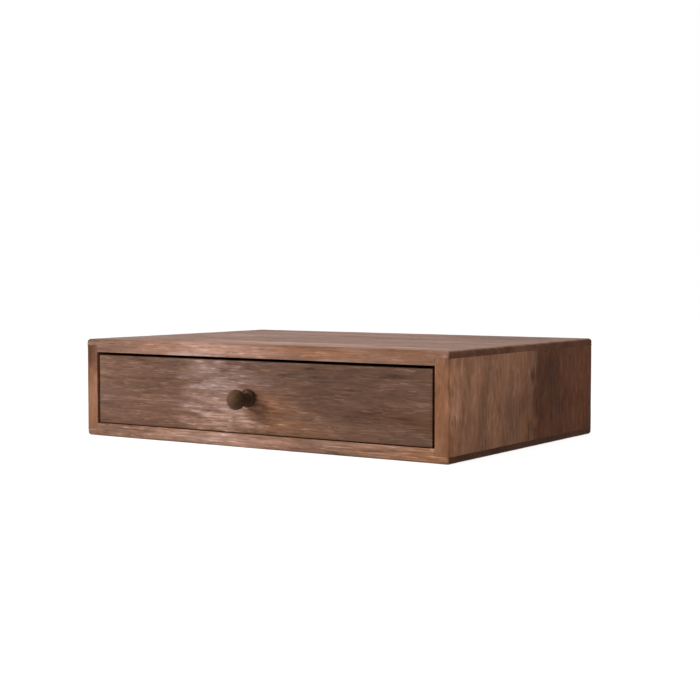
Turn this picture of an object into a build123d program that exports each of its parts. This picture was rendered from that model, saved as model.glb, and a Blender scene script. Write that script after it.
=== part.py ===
"""Desk organizer: a low wooden case with one inset drawer, pulled by a small turned knob.

Millimetres, +Z up. The origin is the middle of the case's underside and the drawer opens
towards -Y.
"""

import os
from math import acos, degrees, radians, tan

from build123d import *

# Case boards
case_width = 260.0
case_depth = 180.0
case_height = 60.0
top_thickness = 8.0
bottom_thickness = 8.0
side_thickness = 9.0
lip_thickness = 4.0  # what the end rabbets leave of the top and bottom boards
case_round = 2.0  # sanded outer edges of the case

# Back panel, set into a rebate at the rear
back_thickness = 3.0
back_lap = 4.0  # how far the panel laps onto each board
panel_clearance = 0.25  # play around a thin panel in its rebate or groove

# Gaps around the drawer
drawer_side_gap = 1.5
drawer_top_gap = 1.8
drawer_front_lift = 0.5  # the front clears the bottom board, on which the drawer sides run
drawer_recess = 0.5  # the front lies this far behind the front edges of the case

# Drawer boards
drawer_front_thickness = 9.0
drawer_front_lip = 3.0  # what the end rabbets leave of the drawer front
drawer_front_round = 0.5
drawer_box_round = 0.6  # sanded top edges of the drawer's sides and back
drawer_side_thickness = 6.0
drawer_back_thickness = 6.0
drawer_back_setback = 5.0  # from the rear ends of the drawer sides
housing_depth = 2.0  # how far the drawer back is let into the sides
drawer_bottom_thickness = 3.0
groove_depth = 3.0
groove_rise = 3.0  # from the running edges of the drawer sides up to the groove

# Knob and its screw
knob_shift = -2.9  # the knob is fitted a little left of the middle,
knob_drop = 0.45  # and a little below it
knob_length = 17.0
knob_head_radius = 5.85
knob_dome_extra = 0.3  # the end of the head is rounded to a radius this much over the head's own
knob_rim_radius = 4.0
knob_undercut = 58.0  # degrees that the rim goes on past its widest place
knob_neck_radius = 3.6
knob_base_radius = 5.3
knob_base_height = 3.2
knob_end_wall = 7.5  # solid wood between the screw's hole and the end of the knob
screw_radius = 1.75
screw_core_radius = 1.2
screw_pitch = 1.4
screw_tip_length = 1.5
screw_head_radius = 3.3
screw_head_height = 2.2
screw_slot_width = 0.8
screw_slot_length = 3.6
screw_slot_depth = 1.1
screw_clearance = 0.25  # around the plain shank in the drawer front

# Brads and pins
brad_radius = 0.6
brad_head_radius = 1.0
brad_head_height = 0.6
nail_tip_length = 1.6
nail_hole_clearance = 0.05
back_brad_length = 12.0
back_brad_margin = 20.0  # from the sides of the opening to the outer brads
back_brads_per_edge = 3
corner_brad_length = 15.0
corner_brad_margin = 8.0  # from the drawer bottom, and from the top edge
bottom_brad_length = 12.0
bottom_brad_margin = 25.0  # from the drawer sides to the outer brads
bottom_brad_count = 3
pin_radius = 0.5
pin_length = 18.0
pin_set = 1.0  # driven this far below the surface, and the holes filled flush
pin_margin = 20.0  # from the front and rear edges of the case to the outer pins
pins_per_joint = 3

# Planes and edges that follow from these
front_y = -case_depth / 2
rear_y = case_depth / 2
opening_width = case_width - 2 * side_thickness
opening_top = case_height - top_thickness
panel_face_y = rear_y - back_thickness
drawer_width = opening_width - 2 * drawer_side_gap
drawer_inner_width = drawer_width - 2 * drawer_side_thickness
drawer_top = opening_top - drawer_top_gap
drawer_face_y = front_y + drawer_recess
drawer_lip_y = drawer_face_y + drawer_front_lip
drawer_inner_y = drawer_face_y + drawer_front_thickness
drawer_back_y = panel_face_y - drawer_back_setback
groove_z = bottom_thickness + groove_rise
tray_z = groove_z + drawer_bottom_thickness
front_bottom_z = bottom_thickness + drawer_front_lift
knob_z = (front_bottom_z + drawer_top) / 2 - knob_drop


def spread(span, margin, count):
    """Places along a span that is centred on zero, evenly spaced between two end margins."""
    reach = span / 2 - margin
    return [-reach + 2 * reach * i / (count - 1) for i in range(count)]


def drill_for_brads(places, length):
    """Cut the holes of headed brads out of the board that is being built."""
    with Locations(*places):
        CounterBoreHole(
            radius=brad_radius + nail_hole_clearance,
            counter_bore_radius=brad_head_radius + nail_hole_clearance,
            counter_bore_depth=brad_head_height,
            depth=length,
        )


def drill_for_pins():
    """Cut the channels of the sunk pins out of the board that is being built."""
    with Locations(*pin_places):
        Cylinder(
            pin_radius + nail_hole_clearance,
            pin_length,
            align=(Align.CENTER, Align.CENTER, Align.MAX),
            mode=Mode.SUBTRACT,
        )


def make_brads(places, length):
    """A set of headed brads, flush with their places."""
    with BuildPart() as brad:
        with BuildSketch(Plane.XZ):
            with BuildLine():
                Polyline(
                    (0, 0),
                    (brad_head_radius, 0),
                    (brad_head_radius, -brad_head_height),
                    (brad_radius, -brad_head_height),
                    (brad_radius, nail_tip_length - length),
                    (0, -length),
                    close=True,
                )
            make_face()
        revolve(axis=Axis.Z)
    with BuildPart() as group:
        with Locations(*places):
            add(brad.part)
    return group


# Where the brads and pins start, each with the direction out of the wood
back_brad_xs = spread(opening_width, back_brad_margin, back_brads_per_edge)
back_brad_points = [(x, bottom_thickness - back_lap / 2) for x in back_brad_xs]
back_brad_points += [(x, opening_top + back_lap / 2) for x in back_brad_xs]
back_brad_points += [(side * (opening_width + back_lap) / 2, case_height / 2) for side in (-1, 1)]
back_brad_places = [Plane(origin=(x, rear_y, z), z_dir=(0, 1, 0)) for x, z in back_brad_points]

corner_brad_places = [
    Plane(origin=(side * drawer_width / 2, y, z), z_dir=(side, 0, 0))
    for side in (-1, 1)
    for y in ((drawer_lip_y + drawer_inner_y) / 2, drawer_back_y - drawer_back_thickness / 2)
    for z in (tray_z + corner_brad_margin, drawer_top - corner_brad_margin)
]

bottom_brad_places = [
    Plane(origin=(x, drawer_back_y - drawer_back_thickness / 2, groove_z), z_dir=(0, 0, -1))
    for x in spread(drawer_inner_width, bottom_brad_margin, bottom_brad_count)
]

pin_places = [
    Plane(origin=(side * (case_width - side_thickness) / 2, y, z), z_dir=(0, 0, out))
    for z, out in ((pin_set, -1), (case_height - pin_set, 1))
    for side in (-1, 1)
    for y in spread(case_depth, pin_margin, pins_per_joint)
]


# Top board: a lip over the side boards, a tongue between them and a rebate for the back panel
with BuildPart() as top_board:
    with BuildSketch(Plane.XY.offset(case_height)):
        Rectangle(case_width, case_depth)
    extrude(amount=-lip_thickness)
    with BuildSketch(Plane.XY.offset(opening_top)):
        Rectangle(opening_width, case_depth)
    extrude(amount=top_thickness - lip_thickness)
    with BuildSketch(Plane.XZ.offset(-rear_y)):
        with Locations((0, opening_top)):
            Rectangle(opening_width + 2 * back_lap, 2 * back_lap)
    extrude(amount=back_thickness, mode=Mode.SUBTRACT)
    corners = top_board.edges().filter_by(Axis.Z).group_by(Axis.X)
    fillet(top_board.faces().sort_by(Axis.Z)[-1].edges() + corners[0] + corners[-1], case_round)
    drill_for_brads(back_brad_places, back_brad_length)
    drill_for_pins()
top_board.part.label = "top_board"

# Bottom board: the same joints the other way up
with BuildPart() as bottom_board:
    with BuildSketch(Plane.XY):
        Rectangle(case_width, case_depth)
    extrude(amount=lip_thickness)
    with BuildSketch(Plane.XY.offset(bottom_thickness)):
        Rectangle(opening_width, case_depth)
    extrude(amount=lip_thickness - bottom_thickness)
    with BuildSketch(Plane.XZ.offset(-rear_y)):
        with Locations((0, bottom_thickness)):
            Rectangle(opening_width + 2 * back_lap, 2 * back_lap)
    extrude(amount=back_thickness, mode=Mode.SUBTRACT)
    corners = bottom_board.edges().filter_by(Axis.Z).group_by(Axis.X)
    fillet(bottom_board.faces().sort_by(Axis.Z)[0].edges() + corners[0] + corners[-1], case_round)
    drill_for_brads(back_brad_places, back_brad_length)
    drill_for_pins()
bottom_board.part.label = "bottom_board"

# Side boards: upright between the two lips, rebated at the inner rear edge
with BuildPart() as right_side_board:
    with BuildSketch(Plane.XY.offset(lip_thickness)):
        with Locations(((case_width - side_thickness) / 2, 0)):
            Rectangle(side_thickness, case_depth)
        with Locations((opening_width / 2, rear_y)):
            Rectangle(2 * back_lap, 2 * back_thickness, mode=Mode.SUBTRACT)
    extrude(amount=case_height - 2 * lip_thickness)
    outer_face = right_side_board.faces().sort_by(Axis.X)[-1]
    fillet(outer_face.edges().filter_by(Axis.Z), case_round)
    drill_for_brads(back_brad_places, back_brad_length)
    drill_for_pins()
right_side_board.part.label = "right_side_board"

with BuildPart() as left_side_board:
    mirror(right_side_board.part, about=Plane.YZ)
left_side_board.part.label = "left_side_board"

# Back panel
with BuildPart() as back_panel:
    with BuildSketch(Plane.XZ.offset(-panel_face_y)):
        with Locations((0, (bottom_thickness + opening_top) / 2)):
            Rectangle(
                opening_width + 2 * (back_lap - panel_clearance),
                opening_top - bottom_thickness + 2 * (back_lap - panel_clearance),
            )
    extrude(amount=-back_thickness)
    drill_for_brads(back_brad_places, back_brad_length)
back_panel.part.label = "back_panel"

back_panel_brads = make_brads(back_brad_places, back_brad_length)
back_panel_brads.part.label = "back_panel_brads"

# Headless pins that hold the rabbets together
with BuildPart() as pin:
    with BuildSketch(Plane.XZ):
        with BuildLine():
            Polyline(
                (0, 0),
                (pin_radius, 0),
                (pin_radius, nail_tip_length - pin_length),
                (0, -pin_length),
                close=True,
            )
        make_face()
    revolve(axis=Axis.Z)

with BuildPart() as case_corner_pins:
    with Locations(*pin_places):
        add(pin.part)
case_corner_pins.part.label = "case_corner_pins"

# Drawer front: thin lips in front of the drawer sides, a core between them, a groove for the bottom
with BuildPart() as drawer_front:
    with BuildSketch(Plane.XY.offset(front_bottom_z)):
        with Locations((0, drawer_face_y)):
            Rectangle(drawer_width, drawer_front_lip, align=(Align.CENTER, Align.MIN))
            Rectangle(drawer_inner_width, drawer_front_thickness, align=(Align.CENTER, Align.MIN))
    extrude(amount=drawer_top - front_bottom_z)
    with BuildSketch(Plane.XY.offset(groove_z)):
        with Locations((0, drawer_inner_y)):
            Rectangle(drawer_inner_width, 2 * groove_depth)
    extrude(amount=drawer_bottom_thickness, mode=Mode.SUBTRACT)
    fillet(drawer_front.faces().sort_by(Axis.Y)[0].edges(), drawer_front_round)
    drill_for_brads(corner_brad_places, corner_brad_length)
    with Locations(Plane(origin=(knob_shift, drawer_face_y, knob_z), z_dir=(0, -1, 0))):
        Hole(radius=screw_radius + screw_clearance)
drawer_front.part.label = "drawer_front"

# Drawer sides: they run on the bottom board and stop against the back panel
with BuildPart() as drawer_right_side:
    with BuildSketch(Plane.XY.offset(bottom_thickness)):
        with Locations((drawer_inner_width / 2, drawer_lip_y)):
            Rectangle(
                drawer_side_thickness, panel_face_y - drawer_lip_y, align=(Align.MIN, Align.MIN)
            )
    extrude(amount=drawer_top - bottom_thickness)
    with BuildSketch(Plane.XY.offset(groove_z)):
        with Locations((drawer_inner_width / 2, 0)):
            Rectangle(2 * groove_depth, case_depth)
    extrude(amount=drawer_bottom_thickness, mode=Mode.SUBTRACT)
    with BuildSketch(Plane.XY.offset(tray_z)):
        with Locations((drawer_inner_width / 2, drawer_back_y)):
            Rectangle(2 * housing_depth, drawer_back_thickness, align=(Align.CENTER, Align.MAX))
    extrude(amount=drawer_top - tray_z, mode=Mode.SUBTRACT)
    fillet(drawer_right_side.edges().filter_by(Axis.Y).group_by(Axis.Z)[-1], drawer_box_round)
    drill_for_brads(corner_brad_places, corner_brad_length)
drawer_right_side.part.label = "drawer_right_side"

with BuildPart() as drawer_left_side:
    mirror(drawer_right_side.part, about=Plane.YZ)
drawer_left_side.part.label = "drawer_left_side"

# Drawer back: stands on the bottom panel, let into both sides
with BuildPart() as drawer_back:
    with BuildSketch(Plane.XY.offset(tray_z)):
        with Locations((0, drawer_back_y)):
            Rectangle(
                drawer_inner_width + 2 * housing_depth,
                drawer_back_thickness,
                align=(Align.CENTER, Align.MAX),
            )
    extrude(amount=drawer_top - tray_z)
    fillet(drawer_back.edges().filter_by(Axis.X).group_by(Axis.Z)[-1], drawer_box_round)
    drill_for_brads(corner_brad_places, corner_brad_length)
    drill_for_brads(bottom_brad_places, bottom_brad_length)
drawer_back.part.label = "drawer_back"

# Drawer bottom: slid into the grooves from the rear
with BuildPart() as drawer_bottom:
    with BuildSketch(Plane.XY.offset(groove_z)):
        with Locations((0, drawer_back_y)):
            Rectangle(
                drawer_inner_width + 2 * (groove_depth - panel_clearance),
                drawer_back_y - drawer_inner_y + groove_depth - panel_clearance,
                align=(Align.CENTER, Align.MAX),
            )
    extrude(amount=drawer_bottom_thickness)
    drill_for_brads(bottom_brad_places, bottom_brad_length)
drawer_bottom.part.label = "drawer_bottom"

drawer_corner_brads = make_brads(corner_brad_places, corner_brad_length)
drawer_corner_brads.part.label = "drawer_corner_brads"

drawer_bottom_brads = make_brads(bottom_brad_places, bottom_brad_length)
drawer_bottom_brads.part.label = "drawer_bottom_brads"

# Knob, turned and drilled for its screw: the section lies in a plane through its axis
knob_plane = Plane(origin=(knob_shift, drawer_face_y, knob_z), x_dir=(1, 0, 0), z_dir=(0, 0, -1))
base_bead = knob_base_height / 2
dome_radius = knob_head_radius + knob_dome_extra
dome_centre = (0, knob_length - dome_radius)
rim_inset = knob_head_radius - knob_rim_radius
rim_angle = degrees(acos(rim_inset / (dome_radius - knob_rim_radius)))
rim_centre = (rim_inset, dome_centre[1] + rim_inset * tan(radians(rim_angle)))
pilot_depth = knob_length - knob_end_wall
with BuildPart() as knob:
    with BuildSketch(knob_plane):
        with BuildLine():
            base = ThreePointArc(
                (knob_base_radius - base_bead, 0),
                (knob_base_radius, base_bead),
                (knob_base_radius - base_bead, knob_base_height),
            )
            rim = CenterArc(rim_centre, knob_rim_radius, -knob_undercut, knob_undercut + rim_angle)
            dome = CenterArc(dome_centre, dome_radius, rim_angle, 90 - rim_angle)
            neck_height = ((base @ 1).Y + (rim @ 0).Y) / 2
            ThreePointArc(base @ 1, (knob_neck_radius, neck_height), rim @ 0)
            Polyline(
                dome @ 1,
                (0, pilot_depth),
                (screw_core_radius, pilot_depth),
                (screw_core_radius, 0),
                base @ 0,
            )
        make_face()
    revolve(axis=Axis(knob_plane.origin, (0, -1, 0)))
knob.part.label = "knob"

# Knob screw: a pan head inside the drawer, a plain shank and a thread that bites into the knob
screw_plane = Plane(origin=(knob_shift, drawer_inner_y, knob_z), x_dir=(1, 0, 0), z_dir=(0, 0, 1))
slot_plane = Plane(origin=screw_plane.origin, x_dir=(1, 0, 0), z_dir=(0, 1, 0))
thread_points = []
for turn in range(round((pilot_depth - screw_tip_length) / screw_pitch)):
    turn_start = -drawer_front_thickness - turn * screw_pitch
    thread_points.append((screw_core_radius, turn_start - 0.25 * screw_pitch))
    thread_points.append((screw_radius, turn_start - 0.5 * screw_pitch))
    thread_points.append((screw_core_radius, turn_start - 0.75 * screw_pitch))
with BuildPart() as knob_screw:
    with BuildSketch(screw_plane):
        with BuildLine():
            Polyline(
                (screw_head_radius, 0),
                (screw_radius, 0),
                (screw_radius, -drawer_front_thickness),
                *thread_points,
                (0, -drawer_front_thickness - pilot_depth),
                (0, screw_head_height),
            )
            EllipticalCenterArc((0, 0), screw_head_radius, screw_head_height, arc_size=90)
        make_face()
    revolve(axis=Axis(screw_plane.origin, (0, 1, 0)))
    with BuildSketch(slot_plane.offset(screw_head_height)):
        Rectangle(screw_slot_length, screw_slot_width)
        Rectangle(screw_slot_width, screw_slot_length)
    extrude(amount=-screw_slot_depth, mode=Mode.SUBTRACT)
knob_screw.part.label = "knob_screw"

os.makedirs("parts", exist_ok=True)
for piece in (
    top_board,
    bottom_board,
    left_side_board,
    right_side_board,
    back_panel,
    back_panel_brads,
    case_corner_pins,
    drawer_front,
    drawer_left_side,
    drawer_right_side,
    drawer_back,
    drawer_bottom,
    drawer_corner_brads,
    drawer_bottom_brads,
    knob,
    knob_screw,
):
    export_step(piece.part, f"parts/{piece.part.label}.step")
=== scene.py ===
"""Looks of the desk organizer: oiled boards with eased edges and open grain, and a turned knob.

Metres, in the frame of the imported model: +Z up, and the drawer opens towards -Y.
"""

from collections import namedtuple
from math import acos, cos, pi, radians, sin, tan

import bmesh
import bpy
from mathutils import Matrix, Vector


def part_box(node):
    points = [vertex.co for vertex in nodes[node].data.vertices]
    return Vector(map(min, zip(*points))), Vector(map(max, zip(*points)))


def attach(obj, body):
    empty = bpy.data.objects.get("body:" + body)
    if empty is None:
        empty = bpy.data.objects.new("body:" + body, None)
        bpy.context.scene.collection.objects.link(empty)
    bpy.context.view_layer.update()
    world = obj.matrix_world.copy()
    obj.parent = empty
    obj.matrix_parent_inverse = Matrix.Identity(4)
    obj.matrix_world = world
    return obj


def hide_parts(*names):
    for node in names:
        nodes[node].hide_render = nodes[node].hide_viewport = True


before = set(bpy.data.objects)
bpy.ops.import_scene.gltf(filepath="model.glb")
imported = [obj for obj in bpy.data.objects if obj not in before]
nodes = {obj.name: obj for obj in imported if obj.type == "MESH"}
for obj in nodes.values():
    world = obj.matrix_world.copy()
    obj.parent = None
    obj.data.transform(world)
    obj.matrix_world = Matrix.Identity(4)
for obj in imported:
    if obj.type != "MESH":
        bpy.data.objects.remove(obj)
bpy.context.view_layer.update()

MM = 0.001
X_AXIS = Vector((1, 0, 0))
Y_AXIS = Vector((0, 1, 0))
Z_AXIS = Vector((0, 0, 1))

# Where the joinery puts its shoulders, read from the frame
CASE_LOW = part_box("bottom_board")[0]
CASE_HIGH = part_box("top_board")[1]
CASE_BOX = (CASE_LOW, CASE_HIGH)
OPENING_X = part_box("right_side_board")[0].x
OPENING_LOW_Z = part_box("bottom_board")[1].z
OPENING_HIGH_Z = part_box("top_board")[0].z
LOWER_LIP_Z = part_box("right_side_board")[0].z
UPPER_LIP_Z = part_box("right_side_board")[1].z
PANEL_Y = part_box("back_panel")[0].y
PANEL_LAP = 4 * MM
DRAWER_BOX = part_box("drawer_front")
DRAWER_LOW, DRAWER_HIGH = DRAWER_BOX
DRAWER_LIP_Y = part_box("drawer_right_side")[0].y
DRAWER_INNER_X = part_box("drawer_right_side")[0].x
GROOVE_LOW_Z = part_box("drawer_bottom")[0].z
GROOVE_HIGH_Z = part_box("drawer_bottom")[1].z
GROOVE_DEPTH = 3 * MM

# Eased edges
CASE_ROUND = 2.0 * MM
DRAWER_ROUND = 0.5 * MM
JOINT_ARRIS = 0.15 * MM
ROUND_STEPS = 6
SMOOTH_ANGLE = radians(35)

# What counts as one place, one direction, an outward corner and the outer skin of a board
TOUCH = 0.01 * MM
SAME_WAY = 0.999
CORNER_ANGLE = 0.5
SKIN = 0.7 * MM

# Fineness of the boards' surfaces: steps along and across the grain, and how edges are cut to them
ALONG_GRAIN = 3.5 * MM
ACROSS_GRAIN = 0.55 * MM
LEFT_UNCUT = 1.6
CUT_TOGETHER = 0.7
MOST_CUTS = 100

# Relief that brushing, oiling and wear leave in the surface
PORE_LENGTH = 11 * MM
PORE_WIDTH = 1.3 * MM
PORE_RELIEF = 0.13 * MM
WAVE_LENGTH = 60 * MM
WAVE_WIDTH = 14 * MM
WAVE_RELIEF = 0.16 * MM
WORN_LENGTH = 16 * MM
WORN_RELIEF = 0.35 * MM
WORN_REACH = 1.6 * MM
DRAWER_WEAR = 0.3
PATTERN_SHIFT = 10


def start_block(name, low, high):
    """A sawn block between two corners, in edit mode."""
    bpy.ops.object.select_all(action="DESELECT")
    low = Vector(low)
    high = Vector(high)
    bpy.ops.mesh.primitive_cube_add(size=1, location=(low + high) / 2, scale=high - low)
    block = bpy.context.active_object
    block.name = name
    bpy.ops.object.transform_apply(location=True, rotation=True, scale=True)
    bpy.ops.object.mode_set(mode="EDIT")
    return block


def pick(block, kind, test):
    """Selects the faces or edges of a block that pass a test, and counts them."""
    bpy.ops.mesh.select_mode(type=kind)
    bpy.ops.mesh.select_all(action="DESELECT")
    shape = bmesh.from_edit_mesh(block.data)
    items = shape.faces if kind == "FACE" else shape.edges
    picked = [item for item in items if test(item)]
    for item in picked:
        item.select_set(True)
    bmesh.update_edit_mesh(block.data)
    return len(picked)


def saw(place, direction):
    """Cuts the whole block along a plane and keeps both halves."""
    bpy.ops.mesh.select_all(action="SELECT")
    bpy.ops.mesh.bisect(plane_co=place, plane_no=direction)


def pull_out(block, direction, distance, where):
    """Extrudes the faces that look one way, and whose middle passes a test, straight out."""
    pick(
        block, "FACE",
        lambda face: face.normal.dot(direction) > SAME_WAY and where(face.calc_center_median()),
    )
    bpy.ops.mesh.extrude_region_move(TRANSFORM_OT_translate={"value": direction * distance})


def planes_of_edge(edge, box):
    """How many of a box's six planes an edge lies in."""
    first, second = (vertex.co for vertex in edge.verts)
    return sum(
        abs(first[axis] - corner[axis]) < TOUCH and abs(second[axis] - corner[axis]) < TOUCH
        for corner in box
        for axis in range(3)
    )


def is_corner(edge):
    """True where two faces meet at an outward corner."""
    return len(edge.link_faces) == 2 and edge.calc_face_angle_signed() > CORNER_ANGLE


def ease_edges(block, box, radius):
    """Rounds the edges on two planes of a box, and takes the arris off those on one plane."""
    for planes, weight in ((2, 1.0), (1, JOINT_ARRIS / radius)):
        found = pick(
            block, "EDGE", lambda edge: is_corner(edge) and planes_of_edge(edge, box) == planes
        )
        if found:
            bpy.ops.transform.edge_bevelweight(value=weight)
    bpy.ops.object.mode_set(mode="OBJECT")
    eased = block.modifiers.new("eased edges", "BEVEL")
    eased.limit_method = "WEIGHT"
    eased.width = radius
    eased.segments = ROUND_STEPS
    bpy.ops.object.modifier_apply(modifier=eased.name)
    bpy.ops.object.mode_set(mode="EDIT")


def runs_along(edge, axis, least):
    """True for an edge that follows an axis and is longer than a given least length."""
    span = edge.verts[1].co - edge.verts[0].co
    return span.length > least and abs(span.normalized().dot(axis)) > SAME_WAY


def cut_finer(block, axis, step):
    """Cuts every edge along an axis into lengths of about one step, the longest edges first."""
    while True:
        shape = bmesh.from_edit_mesh(block.data)
        edges = [edge for edge in shape.edges if runs_along(edge, axis, LEFT_UNCUT * step)]
        if not edges:
            return
        longest = max(edge.calc_length() for edge in edges)
        pick(block, "EDGE", lambda edge: runs_along(edge, axis, CUT_TOGETHER * longest))
        cuts = round(longest / step) - 1
        bpy.ops.mesh.subdivide(number_cuts=min(MOST_CUTS, max(1, cuts)))


def press_relief(block, name, size, depth, weight_of):
    """Moves the surface in and out by a soft random pattern, stretched to a given size.

    The length of the block's name shifts the pattern, so that it differs where two boards meet.
    """
    group = block.vertex_groups.new(name=name)
    for vertex in block.data.vertices:
        weight = weight_of(vertex.co)
        if weight > 0:
            group.add([vertex.index], weight, "REPLACE")
    bpy.ops.object.empty_add(location=(0, 0, 0))
    stretch = bpy.context.active_object
    stretch.scale = size
    stretch.location = Vector(size) * (PATTERN_SHIFT * len(block.name))
    bpy.context.view_layer.update()
    pattern = bpy.data.textures.new(name, "CLOUDS")
    pattern.noise_scale = 1.0
    pattern.noise_depth = 1
    relief = block.modifiers.new(name, "DISPLACE")
    relief.texture = pattern
    relief.texture_coords = "OBJECT"
    relief.texture_coords_object = stretch
    relief.vertex_group = group.name
    relief.mid_level = 0.5
    relief.strength = depth
    bpy.ops.object.select_all(action="DESELECT")
    block.select_set(True)
    bpy.context.view_layer.objects.active = block
    bpy.ops.object.modifier_apply(modifier=relief.name)
    block.vertex_groups.clear()
    bpy.data.objects.remove(stretch)
    bpy.data.textures.remove(pattern)


def along(grain, long, wide):
    """A size that is long in the direction of the grain and wide across it."""
    return [long if direction == grain else wide for direction in "XYZ"]


def edge_nearness(point, box):
    """1 on an edge of a box, 0 further from it than the wear reaches."""
    low, high = box
    gaps = sorted(
        min(abs(point[axis] - low[axis]), abs(point[axis] - high[axis])) for axis in range(3)
    )
    return max(0.0, 1 - gaps[1] / WORN_REACH)


def finish_board(block, grain, box, is_free, wear=1.0):
    """Fine cuts, grain relief and worn edges on a board, in object mode at the end."""
    for name, axis in zip("XYZ", (X_AXIS, Y_AXIS, Z_AXIS)):
        cut_finer(block, axis, ALONG_GRAIN if name == grain else ACROSS_GRAIN)
    bpy.ops.object.mode_set(mode="OBJECT")

    def free(point):
        return float(is_free(point))

    def free_edge(point):
        return free(point) * edge_nearness(point, box)

    press_relief(block, "pores", along(grain, PORE_LENGTH, PORE_WIDTH), PORE_RELIEF, free)
    press_relief(block, "waves", along(grain, WAVE_LENGTH, WAVE_WIDTH), WAVE_RELIEF, free)
    press_relief(block, "worn edges", [WORN_LENGTH] * 3, WORN_RELIEF * wear, free_edge)
    bpy.ops.object.shade_smooth_by_angle(angle=SMOOTH_ANGLE)


def on_case_skin(point):
    """True on the outside of the case and round its edges, but not on the underside."""
    gaps = [point[axis] - CASE_LOW[axis] for axis in range(3)]
    gaps += [CASE_HIGH[axis] - point[axis] for axis in range(3)]
    return min(gaps) < SKIN and point.z > CASE_LOW.z + TOUCH


def make_flat_board(name, outer_z, lip_z, inner_z):
    """The top or the bottom of the case: a tongue between the sides and a lip over them."""
    low_z, high_z = sorted((outer_z, inner_z))
    block = start_block(
        name, (-OPENING_X, CASE_LOW.y, low_z), (OPENING_X, PANEL_Y, high_z)
    )

    def in_lip(middle):
        return (middle.z - lip_z) * (outer_z - lip_z) > 0

    saw((0, 0, lip_z), Z_AXIS)
    pull_out(block, Y_AXIS, CASE_HIGH.y - PANEL_Y, in_lip)
    for side in (X_AXIS, -X_AXIS):
        pull_out(block, side, CASE_HIGH.x - OPENING_X, in_lip)
    ease_edges(block, CASE_BOX, CASE_ROUND)
    finish_board(block, "X", CASE_BOX, on_case_skin)
    return block


def make_side_board(name, side):
    """One upright side of the case, rebated at the inner rear edge; side is 1 or -1."""
    rebate_x = OPENING_X + PANEL_LAP
    low_x, high_x = sorted((OPENING_X * side, CASE_HIGH.x * side))
    block = start_block(
        name, (low_x, CASE_LOW.y, LOWER_LIP_Z), (high_x, PANEL_Y, UPPER_LIP_Z)
    )

    def outside_rebate(middle):
        return abs(middle.x) > rebate_x

    saw((rebate_x * side, 0, 0), X_AXIS)
    pull_out(block, Y_AXIS, CASE_HIGH.y - PANEL_Y, outside_rebate)
    ease_edges(block, CASE_BOX, CASE_ROUND)
    finish_board(block, "Z", CASE_BOX, on_case_skin)
    return block


def make_drawer_front(name):
    """The drawer's front: lips in front of the drawer sides, and a core with a groove behind."""
    block = start_block(
        name,
        (-DRAWER_INNER_X, DRAWER_LOW.y, DRAWER_LOW.z),
        (DRAWER_INNER_X, DRAWER_HIGH.y - GROOVE_DEPTH, DRAWER_HIGH.z),
    )

    def under_groove(middle):
        return middle.z < GROOVE_LOW_Z

    def over_groove(middle):
        return middle.z > GROOVE_HIGH_Z

    def in_lip(middle):
        return middle.y < DRAWER_LIP_Y

    def in_front(point):
        return point.y < DRAWER_LOW.y + SKIN

    saw((0, 0, GROOVE_LOW_Z), Z_AXIS)
    saw((0, 0, GROOVE_HIGH_Z), Z_AXIS)
    for in_core in (under_groove, over_groove):
        pull_out(block, Y_AXIS, GROOVE_DEPTH, in_core)
    saw((0, DRAWER_LIP_Y, 0), Y_AXIS)
    for side in (X_AXIS, -X_AXIS):
        pull_out(block, side, DRAWER_HIGH.x - DRAWER_INNER_X, in_lip)
    ease_edges(block, DRAWER_BOX, DRAWER_ROUND)
    finish_board(block, "X", DRAWER_BOX, in_front, DRAWER_WEAR)
    return block


# The knob's turned shape, from its base on the drawer front to the end of its head
KNOB_LOW, KNOB_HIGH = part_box("knob")
KNOB_MIDDLE = (KNOB_LOW + KNOB_HIGH) / 2
KNOB_LENGTH = KNOB_HIGH.y - KNOB_LOW.y
KNOB_HEAD_RADIUS = (KNOB_HIGH.x - KNOB_LOW.x) / 2
KNOB_DOME_RADIUS = KNOB_HEAD_RADIUS + 0.3 * MM
KNOB_RIM_RADIUS = 4.0 * MM
KNOB_UNDERCUT = radians(58)
KNOB_NECK_RADIUS = 3.6 * MM
KNOB_BASE_RADIUS = 5.3 * MM
KNOB_BASE_HEIGHT = 3.2 * MM
KNOB_FACETS = 96
KNOB_SMOOTH_ANGLE = radians(40)
BEAD_STEPS = 10
NECK_STEPS = 10
RIM_STEPS = 14
DOME_STEPS = 16


def arc(centre, radius, start, end, steps):
    """Points along an arc, as distance from the axis and height above the base."""
    turns = [start + (end - start) * step / steps for step in range(steps + 1)]
    return [(centre[0] + radius * cos(turn), centre[1] + radius * sin(turn)) for turn in turns]


def hollow(start, end, steps):
    """Points of a shallow curve between two ends, as narrow as the neck half-way along."""
    waist = (start[0] + end[0]) / 2 - KNOB_NECK_RADIUS
    points = []
    for step in range(1, steps):
        share = step / steps
        bow = 4 * share * (1 - share)
        radius = start[0] + (end[0] - start[0]) * share - waist * bow
        points.append((radius, start[1] + (end[1] - start[1]) * share))
    return points


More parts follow.
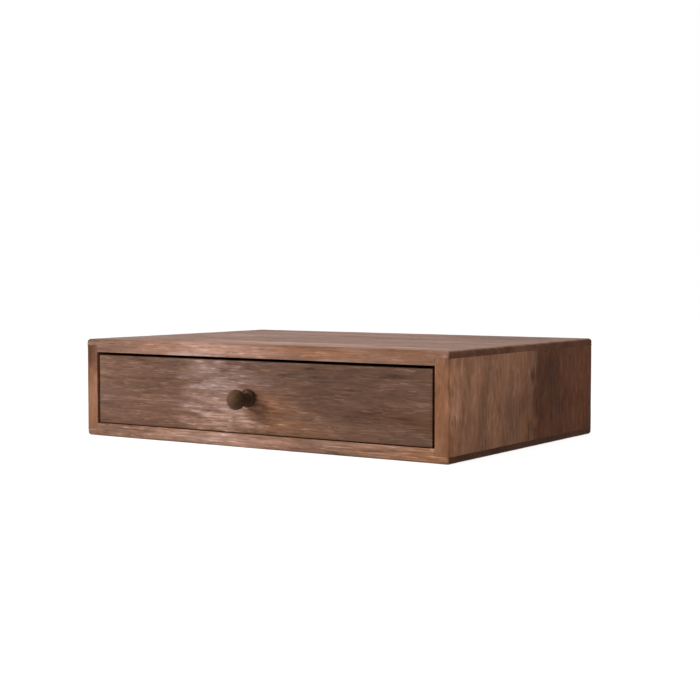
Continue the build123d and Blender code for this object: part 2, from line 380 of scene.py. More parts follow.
def knob_profile():
    """The turned outline: a bead at the base, a hollow neck, and a ball of a rim and a dome."""
    bead = KNOB_BASE_HEIGHT / 2
    rim_inset = KNOB_HEAD_RADIUS - KNOB_RIM_RADIUS
    rim_turn = acos(rim_inset / (KNOB_DOME_RADIUS - KNOB_RIM_RADIUS))
    dome_centre = (0, KNOB_LENGTH - KNOB_DOME_RADIUS)
    rim_centre = (rim_inset, dome_centre[1] + rim_inset * tan(rim_turn))
    points = [(0, 0)]
    points += arc((KNOB_BASE_RADIUS - bead, bead), bead, -pi / 2, pi / 2, BEAD_STEPS)
    rim = arc(rim_centre, KNOB_RIM_RADIUS, -KNOB_UNDERCUT, rim_turn, RIM_STEPS)
    points += hollow(points[-1], rim[0], NECK_STEPS)
    points += rim
    points += arc(dome_centre, KNOB_DOME_RADIUS, rim_turn, pi / 2, DOME_STEPS)[1:]
    return points


def make_knob(name):
    """The turned knob, spun about its axis from half of its outline."""
    base = Vector((KNOB_MIDDLE.x, KNOB_HIGH.y, KNOB_MIDDLE.z))
    bpy.ops.object.select_all(action="DESELECT")
    bpy.ops.mesh.primitive_plane_add(size=1, location=base)
    knob = bpy.context.active_object
    knob.name = name
    bpy.ops.object.transform_apply(location=True, rotation=True, scale=True)
    bpy.ops.object.mode_set(mode="EDIT")
    bpy.ops.mesh.select_mode(type="VERT")
    bpy.ops.mesh.select_all(action="SELECT")
    bpy.ops.mesh.merge(type="CENTER")
    outline = [Vector((0, -height, radius)) for radius, height in knob_profile()]
    for here, there in zip(outline, outline[1:]):
        bpy.ops.mesh.extrude_vertices_move(TRANSFORM_OT_translate={"value": there - here})
    bpy.ops.mesh.select_all(action="SELECT")
    bpy.ops.mesh.spin(steps=KNOB_FACETS, angle=2 * pi, center=base, axis=-Y_AXIS)
    bpy.ops.mesh.select_all(action="SELECT")
    bpy.ops.mesh.remove_doubles(threshold=TOUCH / 10)
    bpy.ops.mesh.normals_make_consistent(inside=False)
    bpy.ops.object.mode_set(mode="OBJECT")
    bpy.ops.object.shade_smooth_by_angle(angle=KNOB_SMOOTH_ANGLE)
    return knob


class Value:
    """A number that varies over a surface; arithmetic on it adds Math nodes to its finish."""

    def __init__(self, finish, socket):
        self.finish = finish
        self.socket = socket

    def math(self, operation, first, second):
        return self.finish.node("ShaderNodeMath", {"operation": operation}, {0: first, 1: second})

    def __add__(self, other):
        return self.math("ADD", self, other)

    def __radd__(self, other):
        return self.math("ADD", other, self)

    def __sub__(self, other):
        return self.math("SUBTRACT", self, other)

    def __rsub__(self, other):
        return self.math("SUBTRACT", other, self)

    def __mul__(self, other):
        return self.math("MULTIPLY", self, other)

    def __rmul__(self, other):
        return self.math("MULTIPLY", other, self)

    def __truediv__(self, other):
        return self.math("DIVIDE", self, other)

    def __pow__(self, other):
        return self.math("POWER", self, other)

    def __abs__(self):
        return self.math("ABSOLUTE", self, 0.0)

    def at_least(self, other):
        return self.math("MAXIMUM", self, other)

    def at_most(self, other):
        return self.math("MINIMUM", self, other)


class Finish:
    """A material under construction."""

    def __init__(self, name):
        self.material = bpy.data.materials.new(name)
        self.material.use_nodes = True
        self.tree = self.material.node_tree
        self.tree.nodes.clear()

    def node(self, kind, settings=None, sockets=None, out=0):
        """Adds a node, sets it up, then feeds its sockets with numbers, colours or links."""
        made = self.tree.nodes.new(kind)
        for name, setting in (settings or {}).items():
            if name == "stops":
                self.set_stops(made.color_ramp.elements, setting)
            else:
                setattr(made, name, setting)
        for name, feed in (sockets or {}).items():
            if isinstance(feed, Value):
                self.tree.links.new(feed.socket, made.inputs[name])
            else:
                made.inputs[name].default_value = feed
        return Value(self, made.outputs[out]) if made.outputs else None

    def set_stops(self, elements, stops):
        while len(elements) < len(stops):
            elements.new(1.0)
        for element, (position, colour) in zip(elements, stops):
            element.position = position
            element.color = (*colour, 1.0)

    def place(self, turn=(0, 0, 0), shift=(0, 0, 0)):
        """The piece's own coordinates in millimetres, turned and shifted."""
        raw = self.node("ShaderNodeTexCoord", out="Object")
        return self.node(
            "ShaderNodeMapping",
            sockets={"Vector": raw, "Location": shift, "Rotation": turn, "Scale": (1 / MM,) * 3},
        )

    def parts(self, vector):
        """The three numbers of a vector."""
        split = self.node("ShaderNodeSeparateXYZ", sockets={0: vector}).socket.node
        return [Value(self, output) for output in split.outputs]

    def join(self, x, y, z):
        return self.node("ShaderNodeCombineXYZ", sockets={0: x, 1: y, 2: z})

    def vector(self, operation, first, second):
        return self.node(
            "ShaderNodeVectorMath", {"operation": operation}, {0: first, 1: second}
        )

    def noise(self, vector, cell, detail=2.0, rough=0.5, out=0):
        """Soft random variation with cells of a given size in millimetres."""
        scaled = self.vector("DIVIDE", vector, cell)
        return self.node(
            "ShaderNodeTexNoise",
            sockets={"Vector": scaled, "Scale": 1.0, "Detail": detail, "Roughness": rough},
            out=out,
        )

    def step(self, value, low, high):
        """0 below low, 1 above high, smooth between them; high may be the smaller one."""
        return self.node(
            "ShaderNodeMapRange",
            {"interpolation_type": "SMOOTHSTEP"},
            {"Value": value, "From Min": low, "From Max": high},
        )

    def stain(self, factor, colour, tint):
        """A colour multiplied by a tint, as far as a factor says."""
        return self.node(
            "ShaderNodeMix",
            {"data_type": "RGBA", "blend_type": "MULTIPLY"},
            {0: factor, 6: colour, 7: (*tint, 1.0)},
            out=2,
        )

    def ramp(self, value, stops):
        """A colour between those at a row of stops."""
        return self.node("ShaderNodeValToRGB", {"stops": stops}, {0: value})

    def bump(self, height, depth, strength):
        """A surface that a height from 0 to 1 seems to raise by a depth."""
        return self.node(
            "ShaderNodeBump",
            sockets={"Height": height, "Distance": depth, "Strength": strength},
        )

    def distance(self, here, middle, reach=(1, 1, 1)):
        """How far a point lies from a middle, counted in a reach along each axis."""
        offset = self.vector("DIVIDE", self.vector("SUBTRACT", here, middle), reach)
        return self.node("ShaderNodeVectorMath", {"operation": "LENGTH"}, {0: offset}, out=1)

    def edge_gap(self, here, box):
        """How far a point on a box lies from the nearest edge, in millimetres."""
        gaps = []
        for value, least, most in zip(self.parts(here), *box):
            middle = (least + most) / 2 / MM
            half = (most - least) / 2 / MM
            gaps.append(abs(abs(value - middle) - half))
        small = gaps[0].at_most(gaps[1])
        large = gaps[0].at_least(gaps[1])
        return small.at_least(large.at_most(gaps[2]))

    def sway(self, timber, cell, amount):
        """Grain that bends softly to and fro across its run, by an amount in millimetres."""
        bend = self.vector("SUBTRACT", self.noise(timber, cell, out=1), (0.5, 0.5, 0.5))
        return self.vector("ADD", timber, self.vector("MULTIPLY", bend, (0, amount, amount)))

    def end_grain(self, grain):
        """1 on faces that cut across the grain, 0 on faces along it."""
        facing = self.parts(self.node("ShaderNodeTexCoord", out="Normal"))
        return self.step(abs(facing["XYZ".index(grain)]), 0.55, 0.85)

    def surface(self, sockets):
        """Ends the material with one shader."""
        shader = self.node("ShaderNodeBsdfPrincipled", sockets=sockets)
        self.node("ShaderNodeOutputMaterial", sockets={"Surface": shader})
        return self.material


# Turns that lay a board's grain along the first axis of the pattern
GRAIN_TURN = {"X": (0, 0, 0), "Y": (0, 0, -pi / 2), "Z": (0, pi / 2, 0)}

# Tone of the oiled wood, from its pores to its palest flecks
OILED_TONES = (
    (0.0, (0.022, 0.011, 0.007)),
    (0.2, (0.060, 0.031, 0.020)),
    (0.5, (0.185, 0.098, 0.064)),
    (0.75, (0.330, 0.187, 0.133)),
    (1.0, (0.600, 0.385, 0.300)),
)
WARM_STAIN = (1.05, 0.92, 0.74)
COOL_STAIN = (0.94, 1.05, 1.22)

# How much each feature of the oiled wood changes its tone
BAND_TONE = 0.24
FINE_TONE = 0.10
LINE_TONE = 0.12
BOLD_LINE_TONE = 0.34
PALE_DASH_TONE = 0.13
DARK_DASH_TONE = 0.07
PORE_TONE = 0.05
WORN_TONE = 0.05
WORN_WARMTH = 0.5

# Ragged outlines: of the patches as a share of their reach, of the darker part beyond a line,
# partly darker wood and partly painted shade, in millimetres
PATCH_RAGGED = 2.2
HEARTWOOD_AND_SHADE_RAGGED = 26.0
HEARTWOOD_AND_SHADE_BLUR = 3.0

# Depth of the grain in the oiled surface, how dull it is, and how little it shines
OILED_BUMP = 0.12 * MM
OILED_ROUGHNESS = 0.50
OILED_SPECULAR = 0.04

# A ragged spot of changed tone, some the wood's own and some painted sheen, highlight or shade:
# middle and reach in millimetres, and a change of tone and of warmth
Patch = namedtuple("Patch", "middle reach shade warmth")

# Darker beyond a ragged line, partly darker wood from the heart of the tree and partly painted
# shade: the axis across the line, its place in millimetres, and a tint
HeartwoodAndShade = namedtuple("HeartwoodAndShade", "axis place tint")


def oiled_wood(
    name, grain, shift, tint, box,
    line=(22, 1.6), contrast=1.0, drift=0.4, patches=(), heartwood_and_shade=None,
    end_tint=(0.5, 0.45, 0.4),
):
    """Open-grained wood: bands, broken lines, dashes and pores along the grain, dark end grain.

    The tint multiplies the wood's tones, a line is a length and a width in millimetres, the
    contrast is how much the lines stand out, and the drift how much the tone changes.
    """
    finish = Finish(name)
    here = finish.place()
    timber = finish.place(GRAIN_TURN[grain], shift)
    flow = finish.sway(timber, cell=(300, 80, 80), amount=4)
    long, wide = line

    def strands(seed, length, width, detail):
        """Random strands along the grain, with a length and a width in millimetres."""
        offset = finish.vector("ADD", flow, (seed * 97, seed * 31, seed * 53))
        return finish.noise(offset, (length, width, width), detail, rough=0.55)

    def dashes(seed):
        """Thin straight lines along the grain, broken off at uneven lengths."""
        thin = finish.step(strands(seed, 0.6 * long, 0.4 * wide, detail=1.0), 0.56, 0.66)
        return thin * finish.step(strands(seed + 1, 9, 2.0 * wide, detail=1.0), 0.46, 0.58)

    broad = strands(1, 95, 17, detail=1.5)
    bands = strands(2, 2.5 * long, 3.5 * wide, detail=1.5)
    lines = strands(3, long, 0.6 * wide, detail=1.0) - 0.5
    bold = finish.step(strands(4, 10, 2.4 * wide, detail=1.0), 0.36, 0.64)
    ragged = strands(5, 16, 2.2 * wide, detail=2.0)
    pale = dashes(6)
    dark = dashes(8)
    fine = strands(10, 6, 0.5, detail=1.0)
    pores = finish.step(strands(11, 4, 0.4, detail=0.0), 0.64, 0.76)
    end_grain = finish.end_grain(grain)
    rim = ragged - 0.5

    level = 0.5 + (broad - 0.5) * drift + (bands - 0.5) * BAND_TONE + (fine - 0.5) * FINE_TONE
    level = level + lines * (LINE_TONE + bold * BOLD_LINE_TONE) * contrast
    level = level + pale * (PALE_DASH_TONE * contrast) - dark * (DARK_DASH_TONE * contrast)
    level = level - pores * PORE_TONE
    warmth = (finish.noise(finish.vector("ADD", timber, (90, 51, 7)), (60, 16, 16)) - 0.5) * 2.0
    figure = lines + pale * 0.1 - dark * 0.6
    for patch in patches:
        far = finish.distance(here, patch.middle, patch.reach)
        spot = finish.step(far + rim * PATCH_RAGGED, 1.2, 0.2)
        # A paler patch also brings the grain lines out, as a painted sheen does
        level = level + spot * (patch.shade + figure * max(patch.shade, 0.0))
        warmth = warmth + spot * patch.warmth

    worn = finish.step(finish.edge_gap(here, box) + ragged * 1.6, 2.1, 0.9)
    level = level - worn * WORN_TONE
    warmth = warmth + worn * WORN_WARMTH

    colour = finish.ramp(level, OILED_TONES)
    colour = finish.stain(finish.step(warmth, 0.0, 1.0), colour, WARM_STAIN)
    colour = finish.stain(finish.step(warmth, 0.0, -1.0), colour, COOL_STAIN)
    colour = finish.stain(1.0, colour, tint)
    # Darker beyond the line: partly darker wood, partly painted shade
    if heartwood_and_shade:
        across = finish.parts(here)["XYZ".index(heartwood_and_shade.axis)]
        beyond = across - heartwood_and_shade.place + rim * HEARTWOOD_AND_SHADE_RAGGED
        inside = finish.step(beyond, -HEARTWOOD_AND_SHADE_BLUR, HEARTWOOD_AND_SHADE_BLUR)
        colour = finish.stain(inside, colour, heartwood_and_shade.tint)
    colour = finish.stain(end_grain, colour, end_tint)

    height = lines * 0.6 + fine * 0.3 - pores * 0.7 - dark * 0.4
    return finish.surface({
        "Base Color": colour,
        "Roughness": OILED_ROUGHNESS + pores * 0.2 - lines * 0.2 + end_grain * 0.12,
        "Normal": finish.bump(height, OILED_BUMP, strength=0.6),
        "Specular IOR Level": OILED_SPECULAR,
    })


def oiled_top_board():
    """A painted sheen left of the middle of its front edge, darker at both ends, and striped on
    top.
    """
    front_edge = (
        # Painted sheen: paler, cooler wood left of the middle, where the lamp's reflection falls
        Patch((-25, -90, 56), (45, 10, 6), 0.14, -0.3),
        Patch((-42, -90, 53), (34, 10, 3), 0.06, -0.6),
        Patch((-112, -90, 56), (34, 10, 8), -0.11, -0.6),
        Patch((-130, -90, 58), (12, 10, 9), -0.08, -0.4),
        Patch((-80, -90, 57), (22, 10, 4), 0.02, 0.3),
        Patch((45, -90, 57), (35, 10, 4), 0.01, 0.7),
        Patch((105, -90, 55), (45, 10, 8), -0.07, 0.8),
        Patch((127, -90, 57), (3.5, 4, 1.3), 0.18, 0),
        Patch((30, -90, 54), (26, 10, 2.6), -0.07, 0),
    )
    top_face = (
        Patch((25, -66, 60), (95, 12, 4), 0.15, 0),
        Patch((10, 5, 60), (70, 24, 4), -0.06, 0),
        Patch((-80, -66, 60), (28, 17, 4), -0.12, 0),
        Patch((-75, 5, 60), (44, 17, 4), 0.13, -0.5),
        Patch((85, 68, 60), (40, 24, 4), -0.16, 0),
    )
    right_end = (Patch((131, -8, 57), (4, 24, 5), 0.13, 0),)
    return oiled_wood(
        "oiled top board", "X", shift=(0, 0, 0), tint=(1.34, 1.35, 1.42), box=CASE_BOX,
        drift=0.5, end_tint=(0.53, 0.41, 0.32), patches=front_edge + top_face + right_end,
    )


def oiled_bottom_board():
    """A painted sheen left of the middle of its front edge, and darker towards the left end."""
    front_edge = (
        # Painted sheen: paler, cooler wood left of the middle, where the lamp's reflection falls
        Patch((-15, -90, 4), (45, 10, 6), 0.14, -0.4),
        Patch((-116, -90, 5), (38, 10, 8), -0.15, -0.2),
        Patch((-84, -90, 6.5), (22, 10, 2.6), -0.07, 0),
        Patch((52, -90, 5), (28, 10, 8), -0.10, 0),
        Patch((110, -90, 4), (45, 10, 8), -0.02, 0.7),
        Patch((120, -90, 7.3), (2.5, 4, 1.2), 0.20, 0),
    )
    return oiled_wood(
        "oiled bottom board", "X", shift=(310, 240, 170), tint=(1.40, 1.41, 1.41), box=CASE_BOX,
        contrast=1.5, end_tint=(0.36, 0.275, 0.205), patches=front_edge,
    )


def oiled_left_side_board():
    """Darker at the top of its front edge."""
    front_edge = (
        Patch((-126, -90, 26), (12, 8, 16), 0.05, 0.1),
        Patch((-126, -90, 53), (12, 8, 15), -0.20, 0.4),
        Patch((-126, -90, 11), (12, 8, 9), 0, 0.3),
    )
    return oiled_wood(
        "oiled left side board", "Z", shift=(70, 430, 55), tint=(0.84, 0.745, 0.675), box=CASE_BOX,
        line=(12, 4.2), contrast=0.7, drift=0.5, patches=front_edge,
    )


def oiled_right_side_board():
    """Paler near the front edge and darker towards the rear: partly the wood's own tone, partly
    painted light that falls off from front to rear.
    """
    front_edge = (
        Patch((124, -92, 30), (8, 10, 60), -0.09, 0.4),
        Patch((126, -92, 56), (9, 8, 9), -0.07, -0.4),
        Patch((126, -92, 5), (9, 8, 7), -0.05, 0),
    )
    # Paler near the front and darker towards the rear: partly the wood's own tone, partly painted
    # light that falls off from front to rear
    outer_face = (
        Patch((131, -86, 38), (4, 8, 20), 0.24, -0.3),
        Patch((131, -52, 46), (4, 14, 14), 0.10, -0.2),
        Patch((131, -70, 20), (4, 10, 14), -0.07, -0.2),
        Patch((131, -12, 22), (4, 26, 18), -0.13, 0),
        Patch((131, 27, 34), (4, 20, 26), -0.16, -0.2),
        Patch((131, 50, 10), (4, 18, 10), 0.08, 0),
        Patch((131, 45, 24), (4, 50, 8), -0.07, 0.5),
        Patch((131, 75, 30), (4, 20, 40), 0.05, 0.2),
        Patch((131, 45, 44), (4, 3, 10), 0.14, -0.3),
        Patch((131, -76, 24), (4, 2, 15), -0.12, 0),
        Patch((131, 12, 18), (4, 14, 22), 0, 0.9),
    )
    return oiled_wood(
        "oiled right side board", "Z", shift=(190, 120, 360), tint=(1.68, 1.46, 1.21), box=CASE_BOX,
        line=(12, 4.2), contrast=0.75, drift=0.45, patches=front_edge + outer_face,
        heartwood_and_shade=HeartwoodAndShade("Y", 9, (0.44, 0.31, 0.21)),
    )


def oiled_drawer_front():
    """Darker than the case, with a painted sheen left of the knob, a painted highlight along the
    upper edge and a painted warm tint where the knob's shadow falls.
    """
    # Painted sheen: paler wood left of and below the knob, where the lamp's reflection falls
    painted_sheen = (
        Patch((-25, -90, 26), (36, 12, 25), 0.27, -0.5),
        Patch((-22, -90, 13), (40, 12, 8), 0.09, 0.2),
        Patch((-28, -90, 41), (38, 12, 10), 0.03, -0.7),
    )
    left_of_it = (
        Patch((-100, -90, 32), (26, 12, 16), 0.05, -0.5),
        Patch((-70, -90, 42), (26, 12, 14), -0.05, -0.3),
        Patch((-92, -90, 24), (20, 12, 8), 0.02, 0.5),
        Patch((-84, -90, 13), (44, 12, 8), -0.06, 0.3),
    )
    right_of_it = (
        Patch((22, -90, 42), (46, 12, 6), -0.03, -0.2),
        Patch((14, -90, 22), (22, 12, 10), 0.08, 0.5),
        # Painted shadow: a warmer tint where the knob's shadow falls
        Patch((6, -90, 24), (11, 12, 8), 0, 1.2),
        Patch((34, -90, 13), (40, 12, 7), 0.08, 0.3),
        Patch((75, -90, 40), (64, 12, 18), -0.08, -0.1),
        Patch((100, -90, 20), (50, 12, 20), -0.03, 0.3),
    )
    # Painted highlight: a paler, cooler line where the top edge catches the light
    painted_edge_highlight = (Patch((0, -90, 50.3), (150, 4, 1.4), 0.14, -1.0),)
    return oiled_wood(
        "oiled drawer front", "X", shift=(520, 80, 640), tint=(0.705, 0.695, 0.695), box=DRAWER_BOX,
        line=(15, 1.9), contrast=1.1, patches=painted_sheen + left_of_it + right_of_it + painted_edge_highlight,
    )


# Tone of the stained knob, and how much each feature changes it, painted light and shade among them
KNOB_TONES = (
    (0.0, (0.012, 0.007, 0.004)),
    (0.5, (0.058, 0.030, 0.017)),
    (1.0, (0.160, 0.082, 0.048)),
)
KNOB_LEVEL = 0.61
STREAK_TONE = 0.5
CLOUD_TONE = 0.4
KNOB_PORE_TONE = 0.1
LIT_HEAD_TONE = 0.20
SHADE_BEHIND_HEAD_TONE = 0.12
SHADED_TONE = 0.14
NECK_HIGHLIGHT_TONE = 0.45
KNOB_BUMP = 0.06 * MM
KNOB_ROUGHNESS = 0.50

# Places of the painted light and shade on the knob in millimetres, from the front end of its axis
SHADE_BEHIND_HEAD = (5.5, 11.5)
SHADED_RIGHT = (0.9, 5.9)
LIT_HEAD_PLACE = (-6.1, 3.5, 2.1)
LIT_HEAD_REACH = (9.0, 2.0)
NECK_HIGHLIGHT_PLACE = (0.6, 11.9, 3.7)
NECK_HIGHLIGHT_REACH = (1.2, 2.5, 2)


def stained_knob_wood():
    """Dark turned wood: fine grain under a satin stain, with painted light on the head's left, a
    painted highlight on the neck, and painted shade on the head's right side and behind the head.
    """
    finish = Finish("stained knob wood")
    timber = finish.place(GRAIN_TURN["Y"], (3, 5, 8))
    streaks = finish.noise(timber, (14, 0.7, 0.7), detail=2.5, rough=0.6)
    cloud = finish.noise(timber, (5, 3, 3)) - 0.5
    pores = finish.step(finish.noise(timber, (6, 0.45, 0.45), detail=1.0), 0.6, 0.7)

    front_end = Vector((KNOB_MIDDLE.x, KNOB_LOW.y, KNOB_MIDDLE.z))
    here = finish.place(shift=-front_end / MM)
    to_right, back, _ = finish.parts(here)
    # Painted shade behind the head, on the neck and the base
    behind = finish.step(back, *SHADE_BEHIND_HEAD)
    # Painted shade on the head's right side, away from the lamp
    shaded = finish.step(to_right + cloud * 2.0, *SHADED_RIGHT)
    # Painted light: a paler spot on the head's left, where the lamp falls
    rubbed = finish.step(finish.distance(here, LIT_HEAD_PLACE) + cloud * 3.0, *LIT_HEAD_REACH)
    # Painted highlight on top of the neck, where light from above catches it
    neck_highlight = finish.step(finish.distance(here, NECK_HIGHLIGHT_PLACE, NECK_HIGHLIGHT_REACH), 1.4, 0.4)

    level = KNOB_LEVEL + (streaks - 0.5) * STREAK_TONE + cloud * CLOUD_TONE
    # Painted light on the head's left and a painted highlight on the neck raise the tone
    level = level - pores * KNOB_PORE_TONE + rubbed * LIT_HEAD_TONE + neck_highlight * NECK_HIGHLIGHT_TONE
    # Painted shade behind the head and on its right side darkens the tone
    level = level - (behind * SHADE_BEHIND_HEAD_TONE).at_least(shaded * SHADED_TONE)
    return finish.surface({
        "Base Color": finish.ramp(level, KNOB_TONES),
        "Roughness": KNOB_ROUGHNESS + pores * 0.2 + cloud * 0.2,
        "Normal": finish.bump(streaks - pores, KNOB_BUMP, strength=0.5),
        "Specular IOR Level": OILED_SPECULAR,
    })


# Plain sanded wood of the drawer box, and of the thin panels
SANDED_TONES = (
    (0.0, (0.094, 0.042, 0.023)),
    (0.5, (0.292, 0.152, 0.088)),
    (1.0, (0.510, 0.320, 0.203)),
)
PANEL_TONES = (
    (0.0, (0.130, 0.062, 0.035)),
    (0.5, (0.350, 0.196, 0.116)),
    (1.0, (0.550, 0.365, 0.240)),
)
SANDED_FIGURE = 4.0
PANEL_FIGURE = 6.0
SANDED_BUMP = 0.08 * MM
SANDED_ROUGHNESS = 0.62
SANDED_SPECULAR = 0.1

# How much each feature changes the tone of the sanded wood
RING_TONE = 0.8
SANDED_STREAK_TONE = 0.7
SANDER_TONE = 0.15
SANDED_PORE_TONE = 0.14
SANDED_END_TONE = 0.16

# Where the middle of the rings lies, and how far their figure runs, in millimetres
RINGS_ACROSS = 30.0
RINGS_THROUGH = -60.0
FIGURE_RUN = 400.0


def sanded_wood(name, grain, shift, tones, ring_width):
    """Bare wood, sanded: quiet rings of figure, fine pores and faint marks of the sander."""
    finish = Finish(name)
    timber = finish.place(GRAIN_TURN[grain], shift)
    flow = finish.sway(timber, cell=(120, 30, 30), amount=14)
    run, across, through = finish.parts(flow)
    ring = ((across - RINGS_ACROSS) ** 2.0 + (through - RINGS_THROUGH) ** 2.0) ** 0.5
    figure = finish.noise(
        finish.join(run / FIGURE_RUN, ring / ring_width, 0.0), (1, 1, 1), detail=2.0
    )
    streaks = finish.noise(flow, (24, 1.0, 1.0), detail=2.5, rough=0.6)
    pores = finish.step(finish.noise(flow, (7, 0.5, 0.5), detail=1.0), 0.62, 0.72)
    sander = finish.noise(timber, (40, 0.4, 40), detail=1.0)
    level = 0.5 + (figure - 0.5) * RING_TONE + (streaks - 0.5) * SANDED_STREAK_TONE
    level = level + (sander - 0.5) * SANDER_TONE
    level = level - pores * SANDED_PORE_TONE - finish.end_grain(grain) * SANDED_END_TONE
    height = streaks * 0.5 - pores * 0.6 + sander * 0.2
    return finish.surface({
        "Base Color": finish.ramp(level, tones),
        "Roughness": SANDED_ROUGHNESS + pores * 0.15,
        "Normal": finish.bump(height, SANDED_BUMP, strength=0.5),
        "Specular IOR Level": SANDED_SPECULAR,
    })


# Tone of the zinc, from dull to rubbed bright
ZINC_TONES = (
    (0.0, (0.26, 0.25, 0.235)),
    (0.5, (0.45, 0.44, 0.42)),
    (1.0, (0.62, 0.61, 0.58)),
)
ZINC_BUMP = 0.01 * MM
ZINC_ROUGHNESS = 0.30


def zinc_steel():
    """Bright zinc on small nails and screws, a little dulled and rubbed."""
    finish = Finish("zinc steel")
    here = finish.place()
    cloud = finish.noise(here, (1.6, 1.6, 1.6), detail=3.0) - 0.5
    rubbed = finish.noise(here, (3.0, 0.12, 0.12), detail=1.0)
    level = 0.5 + cloud * 0.9 + (rubbed - 0.5) * 0.4
    return finish.surface({
        "Base Color": finish.ramp(level, ZINC_TONES),
        "Metallic": 1.0,
        "Roughness": ZINC_ROUGHNESS + cloud * 0.35,
        "Normal": finish.bump(rubbed, ZINC_BUMP, strength=0.4),
    })


def dress(piece, material):
    """Gives a piece one material all over."""
    piece.data.materials.clear()
    piece.data.materials.append(material)


def set_in_place(piece, node, body, material):
    """A finished piece takes the place of a plain node and moves with its body."""
    dress(piece, material)
    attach(piece, body)
    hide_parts(node)


set_in_place(
    make_flat_board("oiled_top_board", CASE_HIGH.z, UPPER_LIP_Z, OPENING_HIGH_Z),
    "top_board", "case", oiled_top_board(),
)
set_in_place(
    make_flat_board("oiled_bottom_board", CASE_LOW.z, LOWER_LIP_Z, OPENING_LOW_Z),
    "bottom_board", "case", oiled_bottom_board(),
)
set_in_place(
    make_side_board("oiled_left_side_board", -1),
    "left_side_board", "case", oiled_left_side_board(),
)
set_in_place(
    make_side_board("oiled_right_side_board", 1),
    "right_side_board", "case", oiled_right_side_board(),
)
set_in_place(
    make_drawer_front("oiled_drawer_front"),
    "drawer_front", "drawer", oiled_drawer_front(),
)
set_in_place(
    make_knob("turned_knob"),
    "knob", "drawer", stained_knob_wood(),
)

# Pieces that keep their plain shape: fasteners in zinc, the drawer box and the panels in bare wood
FASTENERS = (
    "back_panel_brads",
    "case_corner_pins",
    "drawer_corner_brads",
    "drawer_bottom_brads",
    "knob_screw",
)
BARE_WOOD = {
    "drawer_left_side": ("Y", (0, 0, 0), SANDED_TONES, SANDED_FIGURE),
    "drawer_right_side": ("Y", (130, 75, 40), SANDED_TONES, SANDED_FIGURE),
    "drawer_back": ("X", (260, 150, 90), SANDED_TONES, SANDED_FIGURE),
    "drawer_bottom": ("X", (40, 310, 220), PANEL_TONES, PANEL_FIGURE),
    "back_panel": ("X", (410, 60, 330), PANEL_TONES, PANEL_FIGURE),
}
steel = zinc_steel()
for fastener in FASTENERS:
    dress(nodes[fastener], steel)
for node, (grain, shift, tones, ring_width) in BARE_WOOD.items():
    finish_name = "sanded " + node.replace("_", " ")
    dress(nodes[node], sanded_wood(finish_name, grain, shift, tones, ring_width))

# Camera, as the photograph was taken
CAMERA_AZIMUTH = radians(33.70)
CAMERA_RISE = radians(3.04)
CAMERA_DISTANCE = 894.1 * MM
CAMERA_TARGET = Vector((7.35, 0, 53.07)) * MM
CAMERA_LENS = 73.9
SENSOR_WIDTH = 36.0

# Soft light: what the lamps are aimed at, and the white surroundings' light on the object
LAMP_TARGET = Vector((0, 0, 30)) * MM
AMBIENT = 0.40

# The floor: its width and drop, its own colour, and its colour and glow as the camera sees it
FLOOR_WIDTH = 12
FLOOR_DROP = 0.1 * MM
FLOOR_GREY = (0.8, 0.8, 0.8, 1)
FLOOR_SHOWN_GREY = (0.3, 0.3, 0.3, 1)
FLOOR_GLOW = 0.89
WHITE = (1, 1, 1, 1)


def stand(thing_data, name, target, azimuth, rise, distance):
    """Sets up a camera or lamp at an azimuth from the front and a rise, aimed at a target."""
    thing = bpy.data.objects.new(name, thing_data)
    bpy.context.scene.collection.objects.link(thing)
    away = Vector((sin(azimuth) * cos(rise), -cos(azimuth) * cos(rise), sin(rise)))
    thing.location = target + away * distance
    thing.rotation_euler = (-away).to_track_quat("-Z", "Y").to_euler()
    return thing


def set_camera():
    """The camera at the photograph's place."""
    camera_data = bpy.data.cameras.new("camera")
    camera_data.lens = CAMERA_LENS
    camera_data.sensor_width = SENSOR_WIDTH
    bpy.context.scene.camera = stand(
        camera_data, "camera", CAMERA_TARGET, CAMERA_AZIMUTH, CAMERA_RISE, CAMERA_DISTANCE
    )


def soft_lamp(name, azimuth, rise, distance, size, power):
    """A square studio lamp, aimed at the object; angles in degrees."""
    lamp_data = bpy.data.lights.new(name, "AREA")
    lamp_data.size = size
    lamp_data.energy = power
    stand(lamp_data, name, LAMP_TARGET, radians(azimuth), radians(rise), distance)


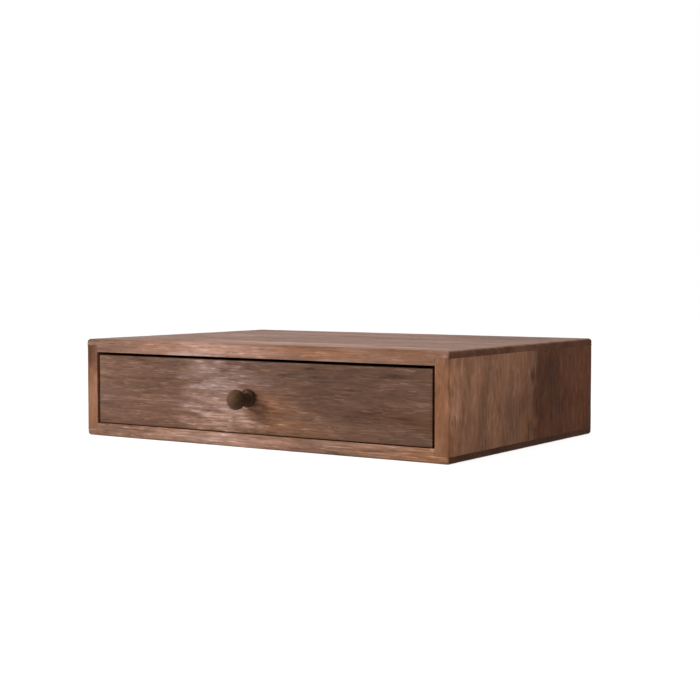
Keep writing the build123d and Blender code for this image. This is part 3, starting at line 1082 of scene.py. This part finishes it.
def seen_directly(finish):
    """1 for rays from the camera or through a gloss or glass bounce, 0 for soft light."""
    path = finish.node("ShaderNodeLightPath").socket.node
    camera_ray, glossy_ray, glass_ray = (
        Value(finish, path.outputs[name])
        for name in ("Is Camera Ray", "Is Glossy Ray", "Is Transmission Ray")
    )
    return (camera_ray + glossy_ray + glass_ray).at_most(1.0)


class Surroundings(Finish):
    """The world's own node tree."""

    def __init__(self, name):
        self.world = bpy.data.worlds.new(name)
        self.world.use_nodes = True
        self.tree = self.world.node_tree
        self.tree.nodes.clear()


def white_room():
    """Soft light on the object, plain white to the camera and in reflections."""
    room = Surroundings("white room")
    strength = AMBIENT + seen_directly(room) * (1 - AMBIENT)
    light = room.node("ShaderNodeBackground", sockets={"Color": WHITE, "Strength": strength})
    room.node("ShaderNodeOutputWorld", sockets={"Surface": light})
    bpy.context.scene.world = room.world


def white_floor():
    """A pale floor that reads as white and keeps a soft shadow."""
    bpy.ops.object.select_all(action="DESELECT")
    bpy.ops.mesh.primitive_plane_add(size=FLOOR_WIDTH, location=(0, 0, -FLOOR_DROP))
    floor = bpy.context.active_object
    floor.name = "floor"
    finish = Finish("white floor")
    lit = finish.node("ShaderNodeBsdfDiffuse", sockets={"Color": FLOOR_GREY})
    shaded = finish.node("ShaderNodeBsdfDiffuse", sockets={"Color": FLOOR_SHOWN_GREY})
    glow = finish.node("ShaderNodeEmission", sockets={"Color": WHITE, "Strength": FLOOR_GLOW})
    both = finish.node("ShaderNodeAddShader", sockets={0: shaded, 1: glow})
    shown = finish.node("ShaderNodeMixShader", sockets={0: seen_directly(finish), 1: lit, 2: both})
    finish.node("ShaderNodeOutputMaterial", sockets={"Surface": shown})
    dress(floor, finish.material)


set_camera()
soft_lamp("key lamp", azimuth=-30, rise=20, distance=0.75, size=0.24, power=4.2)
soft_lamp("overhead lamp", azimuth=0, rise=85, distance=0.80, size=0.50, power=1.6)
white_room()
white_floor()

bpy.context.scene.view_settings.view_transform = "Standard"
